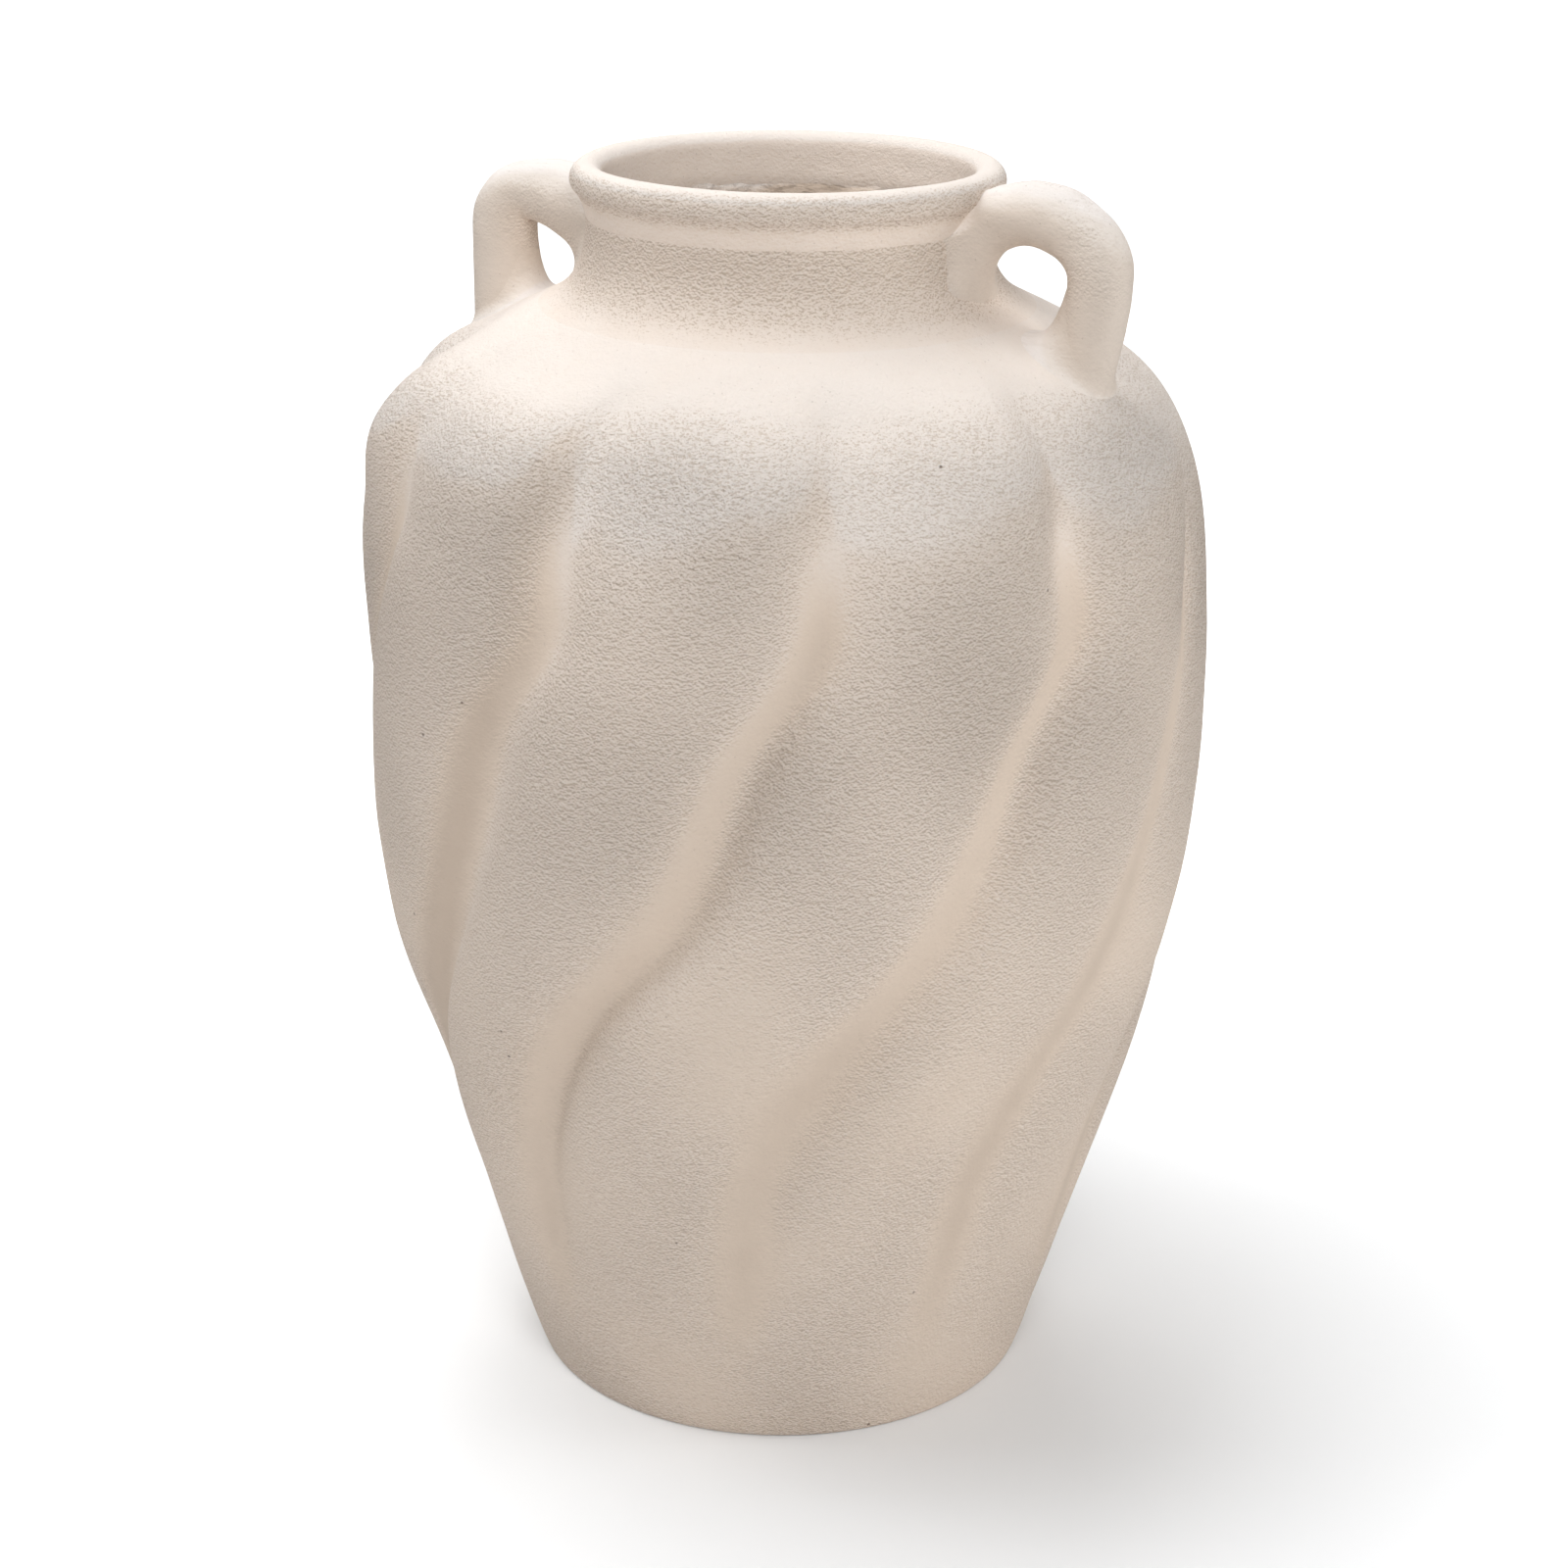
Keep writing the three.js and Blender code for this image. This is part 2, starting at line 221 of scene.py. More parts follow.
def clay(name, grain, dust, pits, tints, wipe=0.0):
    """Matte clay. grain and dust are heights of its bumps in metres, pits is the share of dark specks.

    The piece's grain attribute says where it is sandy, its wash attribute how much whitewash is on it
    together with painted light and shade, between the four tints, and its wiped attribute where
    slanting finger marks show, which are wipe high."""
    material, tree = new_material(name)
    spot = node(tree, "ShaderNodeTexCoord", {}, {}, "Object")
    sandy = node(tree, "ShaderNodeAttribute", {"attribute_name": "grain"}, {}, "Fac")
    washed = node(tree, "ShaderNodeAttribute", {"attribute_name": "wash"}, {}, "Fac")

    def mottle(size, detail, rough=0.55, at=spot):
        return node(tree, "ShaderNodeTexNoise", {"noise_dimensions": "3D"},
                    {"Vector": at, "Scale": 1 / size, "Detail": detail, "Roughness": rough}, "Fac")

    def ramp(value, low, high):
        return node(tree, "ShaderNodeMapRange", {"interpolation_type": "SMOOTHSTEP"},
                    {"Value": value, "From Min": low, "From Max": high}, "Result")

    def blend(share, first, second):
        ends = {6: first if isinstance(first, Wire) else (*first, 1),
                7: second if isinstance(second, Wire) else (*second, 1)}
        return node(tree, "ShaderNodeMix", {"data_type": "RGBA"}, {0: share, **ends}, 2)

    def grains(lift):
        """Wrinkles and powder, read this much higher up."""
        at = node(tree, "ShaderNodeMapping", {}, {
            "Vector": spot, "Location": (0, 0, lift), "Scale": (1, 1, GRAIN_FLATNESS)})
        return mottle(WRINKLE_SIZE, 4, 0.65, at), mottle(POWDER_SIZE, 2, 0.6, at)

    cloud = mottle(CLOUD_SIZE, 3)
    blotch = mottle(BLOTCH_SIZE, 4)
    bumps, powder = grains(0)
    bumps_above, powder_above = grains(LEDGE_STEP)
    # Painted light on the grain: above 0 on a grain's upper side, which is made lighter as if lit from
    # above, and below 0 on its underside, which gets painted shade.
    grain_light = (bumps - bumps_above) * sandy
    grain_light = grain_light + (powder - powder_above) * ramp(sandy, 0.12, 0.40) * 0.55

    def holes(spacing, radius, among):
        """Small holes of one size, in a share of the cells of a pattern."""
        cells = {"Vector": spot, "Scale": 1 / spacing}
        gap = node(tree, "ShaderNodeTexVoronoi", {}, cells, "Distance")
        draw = node(tree, "ShaderNodeTexVoronoi", {}, cells, "Color")
        chosen = node(tree, "ShaderNodeSeparateColor", {}, {0: draw}, 0)
        return ramp(gap, radius / spacing, radius / spacing * 0.5) * ramp(chosen, 1 - among, 1 - among * 0.6)

    pit = holes(PIT_SPACING, PIT_RADIUS, pits)
    speck = holes(SPECK_SPACING, SPECK_RADIUS, SPECK_SHARE) * (sandy * 0.6 + 0.35)

    settle = washed + sandy * SAND_ADDS + (cloud - 0.5) * CLOUDS_ADD + (blotch - 0.5) * BLOTCHES_ADD
    # The painted light on the grains' upper sides adds to the wash.
    share = settle + grain_light * GRAIN_LIGHT_ADDS
    bare, thin, cream, thick = tints
    coat = blend(ramp(share, *CREAM_BAND), blend(ramp(share, *THIN_BAND), bare, thin), cream)
    coat = blend(ramp(settle, *THICK_BAND), coat, thick)
    # Painted shade on the grains' undersides, in the bare tint.
    coat = blend(ramp(grain_light, *UNDERSIDE_SHADE_BAND) * 0.6, coat, bare)
    if wipe:
        slant = node(tree, "ShaderNodeMapping", {}, {
            "Vector": spot, "Rotation": (0, WIPE_LEAN, 0), "Scale": (WIPE_SQUEEZE, 1, 1)})
        wiped = node(tree, "ShaderNodeAttribute", {"attribute_name": "wiped"}, {}, "Fac")
        strokes = mottle(WIPE_WIDTH, 2, 0.5, slant)
        coat = blend(ramp(strokes, 0.50, 0.34) * wiped * 0.3, coat, bare)
    # Painted shade in the low hollows of the sandy grain.
    hollow = ramp(bumps, 0.42, 0.32) * (sandy * 0.7 + 0.1)
    hollow_shade = blend(hollow * 0.45, coat, bare)
    finish = blend(pit * 0.8, blend(speck * 0.5, hollow_shade, PIT_BROWN), PIT_BROWN)

    height = bumps * sandy * grain + blotch * (grain * 0.5) + powder * (sandy * 0.8 + 0.2) * dust
    height = height - pit * PIT_DEPTH - speck * SPECK_DEPTH
    if wipe:
        height = height + strokes * wiped * wipe
    bump = node(tree, "ShaderNodeBump", {}, {"Strength": 1.0, "Distance": 1.0, "Height": height})
    skin = node(tree, "ShaderNodeBsdfPrincipled", {}, {
        "Base Color": finish, "Roughness": 0.92, "Specular IOR Level": 0.2, "Normal": bump})
    node(tree, "ShaderNodeOutputMaterial", {}, {"Surface": skin})
    return material


def ring_of_corners(name, sides, radius, height):
    """Starts a piece in edit mode as one open ring, ready to be pulled up."""
    bpy.ops.object.select_all(action="DESELECT")
    bpy.ops.mesh.primitive_circle_add(vertices=sides, radius=radius, enter_editmode=True)
    piece = bpy.context.active_object
    piece.name = name
    piece.data.name = name
    bpy.ops.mesh.select_all(action="SELECT")
    bpy.ops.transform.translate(value=(0, 0, height))
    return piece


def pull(outline):
    """Pulls the selected ring through the rest of an outline of (radius, height) rows."""
    for (radius, height), (next_radius, next_height) in zip(outline, outline[1:]):
        bpy.ops.mesh.extrude_region_move(
            TRANSFORM_OT_translate={"value": (0, 0, next_height - height)})
        size = next_radius / radius
        bpy.ops.transform.resize(value=(size, size, 1), center_override=(0, 0, next_height))


def fire(piece, levels):
    """Leaves edit mode, closes the seams, rounds the facets and smooths the shading."""
    bpy.ops.mesh.select_all(action="SELECT")
    bpy.ops.mesh.remove_doubles(threshold=1e-6)
    bpy.ops.mesh.normals_make_consistent(inside=False)
    bpy.ops.object.mode_set(mode="OBJECT")
    rounding = piece.modifiers.new("rounding", "SUBSURF")
    rounding.levels = levels
    rounding.render_levels = levels
    bpy.ops.object.modifier_apply(modifier=rounding.name)
    bpy.ops.object.shade_smooth()


def corners(piece):
    """The places of the piece's corners, one row each."""
    flat = np.empty(len(piece.data.vertices) * 3, dtype=np.float32)
    piece.data.vertices.foreach_get("co", flat)
    return flat.reshape(-1, 3).astype(float)


def put_corners(piece, places):
    """Moves the piece's corners to these places."""
    piece.data.vertices.foreach_set("co", places.astype(np.float32).ravel())
    piece.data.update()


def push_out(piece, shape, factor):
    """Moves each corner away from the vase's axis by its own factor."""
    shape[:, 0] *= factor
    shape[:, 1] *= factor
    put_corners(piece, shape)


def facing(piece):
    """The direction that each corner's surface faces."""
    flat = np.empty(len(piece.data.vertices) * 3, dtype=np.float32)
    piece.data.vertices.foreach_get("normal", flat)
    return flat.reshape(-1, 3).astype(float)


def paint(piece, **layers):
    """Stores values on the piece's corners, for its material to read."""
    for name, values in layers.items():
        layer = piece.data.attributes.new(name, "FLOAT", "POINT")
        layer.data.foreach_set("value", np.broadcast_to(values, len(piece.data.vertices)).astype(np.float32))


def lumps(places, size):
    """Soft unevenness of hand-worked clay, from -1 to 1, with waves of about this size."""
    return np.array([noise.noise(Vector(place) / size) for place in places])


def waves(places, rows):
    """Adds up the unevenness of several (size, height) rows."""
    return sum(lumps(places, size) * height for size, height in rows)


def smooth(low, high, value):
    """Goes from 0 at low to 1 at high, without a corner."""
    share = np.clip((value - low) / (high - low), 0, 1)
    return share * share * (3 - 2 * share)


def top_lit_wash(piece):
    """Painted light from above: the whitewash is made thickest, and the clay lightest, where the surface
    faces up.
    """
    return SIDE_WASH + (1 - SIDE_WASH) * smooth(0, FULL_TOP_LIGHT_AT, facing(piece)[:, 2])


slab = ring_of_corners("base_slab", SLAB_SIDES, SLAB_RADIUS, 0)
bpy.ops.mesh.edge_face_add()
bpy.ops.mesh.inset(thickness=SLAB_EDGE, depth=0)
bpy.ops.mesh.select_all(action="SELECT")
bpy.ops.mesh.extrude_region_move(TRANSFORM_OT_translate={"value": (0, 0, SLAB_THICKNESS)})
swell = SLAB_TOP_RADIUS / SLAB_RADIUS
bpy.ops.transform.resize(value=(swell, swell, 1), center_override=(0, 0, SLAB_THICKNESS))
for ring in range(SLAB_RINGS):
    bpy.ops.mesh.inset(thickness=SLAB_TOP_RADIUS / (SLAB_RINGS + 2))
fire(slab, 1)
shape = corners(slab)
reach = np.hypot(shape[:, 0], shape[:, 1])
top = shape[:, 2] > SLAB_THICKNESS / 2
rings = np.cos(reach * 2 * math.pi * SLAB_RINGS / SLAB_TOP_RADIUS)
shape[:, 2] -= top * SLAB_RING_WAVE * (1 + rings)
put_corners(slab, shape)
paint(slab, grain=0.5, wash=0.5)
slab.data.materials.append(clay("slab_clay", grain=0.0005, dust=0.00006, pits=0.12, tints=RAW_TINTS))
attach(slab, "root")
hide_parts("base_slab")


# Lobed wall. Clay pressed into a mould whose ten flutes twist as they rise, so the
# lobes swell at the shoulder and die out at the foot and under the neck. The sandy
# face of the mould shows, except where a wet hand has smoothed the creases.
FOOT_RADIUS = 0.1035
FOOT_EDGE = 0.0012
BELLY_RADIUS = 0.1692
BELLY_HEIGHT = 0.300
SEAM_RADIUS = 0.095
SEAM_HEIGHT = 0.446
SEAM_SLOPE = 0.48
WALL_THICKNESS = 0.011
MOUTH_RADIUS = 0.082
WALL_SIDES = 96
LOWER_ROWS = 26
UPPER_ROWS = 21
INNER_ROWS = 10

LOBES = 10
LOBE_TWIST = math.radians(50.5)
TWIST_START = 0.060
TWIST_END = 0.430
TWIST_WANDER = math.radians(2.0)
MIDDLE_TURN = math.radians(3.4)
WANDER_MIDDLE = 0.190
WANDER_LENGTH = 0.200
# How far the left shoulder bulges where the wet clay has slumped, which way, and how wide.
SLUMP = 0.0055
SLUMP_WAY = math.radians(207)
SLUMP_COSINES = (0.2, 0.95)
# Unevenness of the whole wall: its waves, their height, and how far they set the wall back.
WALL_WAVES = ((0.075, 0.5), (0.032, 0.3))
WALL_UNEVEN = 0.0011
WALL_SET_BACK = 0.25
# Bands of height on the wall: where each thing starts, is full, begins to fade and ends.
WANDER_BAND = (0.060, 0.120, 0.280, 0.360)
MIDDLE_BAND = (0.185, 0.245, 0.335, 0.385)
LOW_CREASE_BAND = (0.030, 0.190, 0.290, 0.390)
HIGH_CREASE_BAND = (0.300, 0.390, 0.420, 0.442)
UNEVEN_BAND = (0.004, 0.030, 0.420, 0.440)
SLUMP_BAND = (0.370, 0.408, 0.418, 0.434)
WIPED_BAND = (0.020, 0.100, 0.370, 0.420)
# Depth of each crease in millimetres, low on the wall and at the shoulder, going round
# from the one beside the right handle.
CREASE_DEPTHS = ((3, 14), (7, 13), (9, 12), (10, 12), (8, 13),
                 (9, 12), (9, 11), (12, 13), (15, 12), (11, 13))
# How far each crease strays from even spacing, in degrees, low on the wall, at mid-height and
# at the shoulder, and the heights between which one goes over into the next.
CREASE_TURNS = ((2.5, -4, 0), (0, 1, 0), (1, 0, 0), (0, -1, 0), (-1, 0, 0),
                (0, 0, 0), (0, -8, -2.5), (1.5, -2, -2.5), (-3.3, -2, -1.2), (2.2, 0.9, -1.2))
LOW_TO_MIDDLE = (0.190, 0.250)
MIDDLE_TO_TOP = (0.335, 0.385)
# How much more wash lies on the left bank of each crease than on the right one: painted light on
# the one bank and painted shade on the other.
CREASE_BANK_LIGHT = (0.2, 1, 1, 1, 1, 1, -1, -1.6, 1, 0.5)
# How round the bottom of a crease's left and right bank is.
LEFT_BOTTOM = 0.18
RIGHT_BOTTOM = 0.11
# Values at the foot, each with its changes on the way up: by how much, and between which heights.
# They are the sharpness of the two banks, the place of the crest between two creases, the middle
# of the wiped band along a crease, the sand, the share of it that stays at the neck, and the wash,
# darker towards the foot and with painted light under the shoulder.
LEFT_SHARP = (1.7, (1.0, 0.12, 0.20), (-0.5, 0.30, 0.38))
RIGHT_SHARP = (2.8, (-1.3, 0.36, 0.41))
CREST = (0.43, (0.20, 0.33, 0.40))
WIPED_MIDDLE = (-0.011, (0.011, 0.30, 0.36))
WALL_SAND = (0.42, (0.5, 0.20, 0.36))
SAND_LEFT = (1, (-0.85, 0.405, 0.436))
WALL_WASH_AND_LIGHT = (-0.12, (0.12, 0.18, 0.30), (0.15, 0.345, 0.39))
# Bands along each crease: the wiped one, and painted light and painted shade on the two banks.
# The lit one and the shaded one swap sides at the shoulder: their middles, below and above that,
# their half widths, and what they add and take.
WIPED_HALF, WIPED_TAKES = 0.012, 0.3
PAINTED_LIGHT_LOW, PAINTED_LIGHT_HIGH, PAINTED_LIGHT_HALF, PAINTED_LIGHT_ADDS = -0.013, 0.007, 0.009, 0.15
PAINTED_SHADE_LOW, PAINTED_SHADE_HIGH, PAINTED_SHADE_HALF, PAINTED_SHADE_TAKES = 0.005, -0.006, 0.006, 0.12
SWAP_BAND = (0.35, 0.40)
SWAP_MIDDLE, SWAP_HALF, SWAP_FADES = 0.375, 0.012, 0.8
BANK_PAINT_END = (0.415, 0.435)
FULL_CREASE = 0.012
INSIDE_WASH = 0.9


def bow(points, rows):
    """Evenly spaced (radius, height) rows along a cubic curve with four control points."""
    t = np.linspace(0, 1, 400)[:, None]
    a, b, c, d = (np.array(point) for point in points)
    line = a * (1 - t) ** 3 + 3 * b * t * (1 - t) ** 2 + 3 * c * t * t * (1 - t) + d * t ** 3
    run = np.concatenate([[0], np.cumsum(np.hypot(*np.diff(line, axis=0).T))])
    stops = np.linspace(0, run[-1], rows + 1)
    return np.column_stack([np.interp(stops, run, line[:, 0]), np.interp(stops, run, line[:, 1])])


def closed_ring(name, sides, rows):
    """A ring of clay whose cross-section runs through these (radius, height) rows."""
    piece = ring_of_corners(name, sides, rows[0][0], rows[0][1])
    pull(rows)
    bpy.ops.mesh.select_all(action="DESELECT")
    bpy.ops.mesh.select_non_manifold()
    bpy.ops.mesh.bridge_edge_loops()
    fire(piece, 2)
    return piece


def between(band, value):
    """Rises from 0 to 1 over the band's first two numbers and falls back over its last two."""
    start, full, fading, end = band
    return smooth(start, full, value) * (1 - smooth(fading, end, value))


def graded(height, start, *changes):
    """A value that begins at the foot and changes on the way up."""
    return start + sum(by * smooth(low, high, height) for by, low, high in changes)


def bell(value, middle, half):
    """One at the middle of a band, and fading to nothing on both sides."""
    return np.exp(-((value - middle) / half) ** 2)


def crease_field(theta, height):
    """Depth of the furrow here, strength of its painted light and shade, and signed distance from the
    nearest crease.
    """
    wander = TWIST_WANDER * np.sin(2 * math.pi * (height - WANDER_MIDDLE) / WANDER_LENGTH)
    wander = wander * between(WANDER_BAND, height) + MIDDLE_TURN * between(MIDDLE_BAND, height)
    turn = LOBE_TWIST * (smooth(TWIST_START, TWIST_END, height) - 1) + wander
    place = (theta - turn) * LOBES / (2 * math.pi) - 0.5
    before = np.floor(place)
    # Each crease strays by its own turn, and the wall between two of them follows both.
    turns = np.array(CREASE_TURNS) * LOBES / 360
    low, top = 1 - smooth(*LOW_TO_MIDDLE, height), smooth(*MIDDLE_TO_TOP, height)
    own = np.column_stack([low, (1 - low) * (1 - top), top]) @ turns.T
    rows = np.arange(len(height))
    first = before.astype(int) % LOBES
    share = place - before
    place = place - own[rows, first] * (1 - share) - own[rows, (first + 1) % LOBES] * share
    before = np.floor(place)
    share = place - before
    crest = graded(height, *CREST)
    right = share < crest
    which = (before + np.where(right, 0, 1)).astype(int) % LOBES
    depths = np.array(CREASE_DEPTHS) * 0.001
    low, high = between(LOW_CREASE_BAND, height), between(HIGH_CREASE_BAND, height)
    depth = depths[which, 0] * low + depths[which, 1] * high
    away = np.where(right, share / crest, (1 - share) / (1 - crest))
    bottom = np.where(right, RIGHT_BOTTOM, LEFT_BOTTOM)
    away = (np.hypot(away, bottom) - bottom) / (np.hypot(1, bottom) - bottom)
    sharp = np.where(right, graded(height, *RIGHT_SHARP), graded(height, *LEFT_SHARP))
    furrow = depth * (1 - np.clip(away, 0, 1)) ** sharp
    spacing = 2 * math.pi * BELLY_RADIUS / LOBES
    return furrow, depth * np.array(CREASE_BANK_LIGHT)[which], np.where(right, share, share - 1) * spacing


lower = bow([(FOOT_RADIUS, 0), (FOOT_RADIUS + 0.64 * (BELLY_RADIUS - FOOT_RADIUS), 0.47 * BELLY_HEIGHT),
             (BELLY_RADIUS, 0.61 * BELLY_HEIGHT), (BELLY_RADIUS, BELLY_HEIGHT)], LOWER_ROWS)
rise = SEAM_HEIGHT - BELLY_HEIGHT
span = 0.9 * (BELLY_RADIUS - SEAM_RADIUS)
upper = bow([(BELLY_RADIUS, BELLY_HEIGHT), (BELLY_RADIUS, BELLY_HEIGHT + 0.76 * rise),
             (SEAM_RADIUS + span, SEAM_HEIGHT - span * SEAM_SLOPE), (SEAM_RADIUS, SEAM_HEIGHT)], UPPER_ROWS)
skin_rows = np.concatenate([lower, upper[1:]])
foot_rows = [(FOOT_RADIUS - FOOT_EDGE, 0), (FOOT_RADIUS - 0.0003, 0.0015)]
under_collar = [(SEAM_RADIUS - 0.005, SEAM_HEIGHT + 0.0018), (MOUTH_RADIUS + 0.003, SEAM_HEIGHT),
                (MOUTH_RADIUS, SEAM_HEIGHT - 0.003)]
along = np.gradient(skin_rows, axis=0)
inward = np.column_stack([-along[:, 1], along[:, 0]]) / np.hypot(*along.T)[:, None]
inner_rows = (skin_rows + inward * WALL_THICKNESS)[::-1]
inner_rows = inner_rows[(inner_rows[:, 0] > MOUTH_RADIUS + 0.004) & (inner_rows[:, 1] > 0.02)]
inner_rows = inner_rows[np.linspace(0, len(inner_rows) - 1, INNER_ROWS).round().astype(int)]
inner_foot = [(FOOT_RADIUS - WALL_THICKNESS + 0.004, 0.008), (FOOT_RADIUS - WALL_THICKNESS, 0)]
wall_rows = [*foot_rows, *skin_rows[1:], *under_collar, *inner_rows, *inner_foot]

wall = closed_ring("body_shell", WALL_SIDES, wall_rows)
shape = corners(wall)
angle = np.arctan2(shape[:, 1], shape[:, 0])
reach = np.hypot(shape[:, 0], shape[:, 1])
height = shape[:, 2]
furrow, bank_paint, aside = crease_field(angle, height)
uneven = (waves(shape, WALL_WAVES) - WALL_SET_BACK) * WALL_UNEVEN * between(UNEVEN_BAND, height)
slump = SLUMP * smooth(*SLUMP_COSINES, np.cos(angle - SLUMP_WAY)) * between(SLUMP_BAND, height)
push_out(wall, shape, (reach - furrow + uneven + slump) / reach)

wiped = bell(aside, graded(height, *WIPED_MIDDLE), WIPED_HALF) * between(WIPED_BAND, height)
patches = 0.75 + 0.5 * lumps(shape, 0.06)
sandy = graded(height, *WALL_SAND) * graded(height, *SAND_LEFT) * patches
sandy = np.clip(sandy * (1 - 0.9 * wiped), 0.03, 1.2)
up = smooth(*SWAP_BAND, height)
swap = up * (bank_paint > 0)
# Painted light on one bank of each crease and painted shade on the other.
painted_light_band = PAINTED_LIGHT_ADDS * bell(aside, PAINTED_LIGHT_LOW + (PAINTED_LIGHT_HIGH - PAINTED_LIGHT_LOW) * swap, PAINTED_LIGHT_HALF)
painted_shade_band = PAINTED_SHADE_TAKES * bell(aside, PAINTED_SHADE_LOW + (PAINTED_SHADE_HIGH - PAINTED_SHADE_LOW) * swap, PAINTED_SHADE_HALF)
fade = bank_paint / FULL_CREASE * (1 - smooth(*BANK_PAINT_END, height))
fade = fade * (1 - SWAP_FADES * (bank_paint > 0) * bell(height, SWAP_MIDDLE, SWAP_HALF))
washed = top_lit_wash(wall) - WIPED_TAKES * wiped * (1 - up) + fade * (painted_light_band - painted_shade_band)
# The wash changes with height, with painted light under the shoulder.
washed = np.clip(washed + graded(height, *WALL_WASH_AND_LIGHT), 0, 1)
hollow = (facing(wall)[:, :2] * shape[:, :2]).sum(axis=1) < 0
paint(wall, grain=sandy, wash=np.where(hollow, INSIDE_WASH, washed))
wall.data.materials.append(clay("wall_clay", grain=0.0028, dust=0.0010, pits=0.08, tints=WASH_TINTS))
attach(wall, "root")
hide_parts("body_shell")


# Luting coil. A rope of soft clay, thumbed into the corner inside the neck joint to
# hold collar and wall together. It stays raw and lumpy, because it hardly shows.
COIL_RADIUS = 0.0757
COIL_HEIGHT = 0.440
COIL_THICKNESS = 0.006
COIL_ROOM = 0.0006
THUMB_MARKS = 17
THUMB_DEPTH = 0.0012
COIL_LUMP = 0.011
COIL_LUMP_HEIGHT = 0.0005

bpy.ops.object.select_all(action="DESELECT")
bpy.ops.mesh.primitive_torus_add(major_radius=COIL_RADIUS, minor_radius=COIL_THICKNESS - COIL_ROOM,
                                 major_segments=90, minor_segments=10, location=(0, 0, COIL_HEIGHT))
coil = bpy.context.active_object
coil.name = "neck_luting_coil"
coil.data.name = "neck_luting_coil"
bpy.ops.object.transform_apply(location=True, rotation=False, scale=False)
bpy.ops.object.mode_set(mode="EDIT")
fire(coil, 1)
shape = corners(coil)
reach = np.hypot(shape[:, 0], shape[:, 1])
angle = np.arctan2(shape[:, 1], shape[:, 0])
hollow_side = smooth(COIL_RADIUS + 0.002, COIL_RADIUS - COIL_THICKNESS, reach)
dent = THUMB_DEPTH * hollow_side * (0.5 + 0.5 * np.cos(angle * THUMB_MARKS + 2 * np.sin(3 * angle)))
push_out(coil, shape, (reach + dent + lumps(shape, COIL_LUMP) * COIL_LUMP_HEIGHT) / reach)
paint(coil, grain=0.3, wash=-0.2, wiped=1)
coil_look = clay("coil_clay", grain=0.0008, dust=0.00006, pits=0.1, tints=RAW_TINTS, wipe=0.0004)
coil.data.materials.append(coil_look)
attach(coil, "root")
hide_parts("neck_luting_coil")


# Neck collar. A short thrown ring, set on the mouth of the wall while both were
# leather-hard. Its foot is drawn out over the shoulder with a wet finger, and its
# inside shows the slanting wipes of the potter's hand.
NECK_RADIUS = 0.078
NECK_BORE = 0.070
NECK_TOP = 0.479
NECK_SIDES = 80
# How far the collar's drawn-out edge lies above the wall's seam.
FEATHER = 0.00012
# Unevenness, and how much of it the inside and the outside show.
NECK_WAVES = ((0.016, 0.0007), (0.006, 0.0003))
INSIDE_UNEVEN, OUTSIDE_UNEVEN = 1.6, 0.35
# Sand and wash as on the wall, and the ragged lower edge of the wash inside.
NECK_SAND = (0.08, (0.55, 0.438, 0.472))
BORE_SAND = 0.12
NECK_WASH = (0.08, (-0.18, 0.434, 0.450))
BORE_WASH = 1.1
BORE_EDGE = (0.474, 0.481)
EDGE_LUMP, EDGE_RAGGED = 0.012, 0.006

flare = 0.53 * (SEAM_RADIUS - NECK_RADIUS)
feather_rows = [(SEAM_RADIUS + 0.009, SEAM_HEIGHT - 0.009 * SEAM_SLOPE - 0.0010),
                (SEAM_RADIUS + 0.004, SEAM_HEIGHT - 0.004 * SEAM_SLOPE - 0.0002)]
neck_rows = bow([(SEAM_RADIUS, SEAM_HEIGHT + FEATHER),
                 (SEAM_RADIUS - flare, SEAM_HEIGHT + FEATHER + flare * SEAM_SLOPE),
                 (NECK_RADIUS, SEAM_HEIGHT + 0.35 * (NECK_TOP - SEAM_HEIGHT)),
                 (NECK_RADIUS, NECK_TOP)], 10)
neck_inside = [(NECK_RADIUS - 0.002, NECK_TOP + 0.004), (NECK_BORE + 0.002, NECK_TOP + 0.004),
               (NECK_BORE, NECK_TOP), (NECK_BORE, NECK_TOP - 0.006), (NECK_BORE, NECK_TOP - 0.012),
               (NECK_BORE, NECK_TOP - 0.018), (NECK_BORE, SEAM_HEIGHT + 0.006), (NECK_BORE, SEAM_HEIGHT)]
collar = closed_ring("neck_collar", NECK_SIDES, [*feather_rows, *neck_rows, *neck_inside])
shape = corners(collar)
reach = np.hypot(shape[:, 0], shape[:, 1])
inside = (reach < NECK_BORE + 0.003) & (shape[:, 2] > SEAM_HEIGHT - 0.001)
outside = (reach > NECK_RADIUS - 0.001) & (shape[:, 2] > SEAM_HEIGHT + 0.008)
wave = waves(shape, NECK_WAVES)
uneven = outside * wave * OUTSIDE_UNEVEN - inside * np.abs(wave) * INSIDE_UNEVEN
push_out(collar, shape, (reach + uneven) / reach)
height = shape[:, 2]
bore_washed = BORE_WASH * smooth(*BORE_EDGE, height + lumps(shape, EDGE_LUMP) * EDGE_RAGGED)
washed = top_lit_wash(collar) + graded(height, *NECK_WASH)
paint(collar, grain=np.where(inside, BORE_SAND, graded(height, *NECK_SAND)),
      wash=np.where(inside, bore_washed, washed), wiped=np.where(inside, 1, 0.05))
neck_look = clay("neck_clay", grain=0.0018, dust=0.0007, pits=0.05, tints=WASH_TINTS, wipe=0.0030)
collar.data.materials.append(neck_look)
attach(collar, "root")
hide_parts("neck_collar")


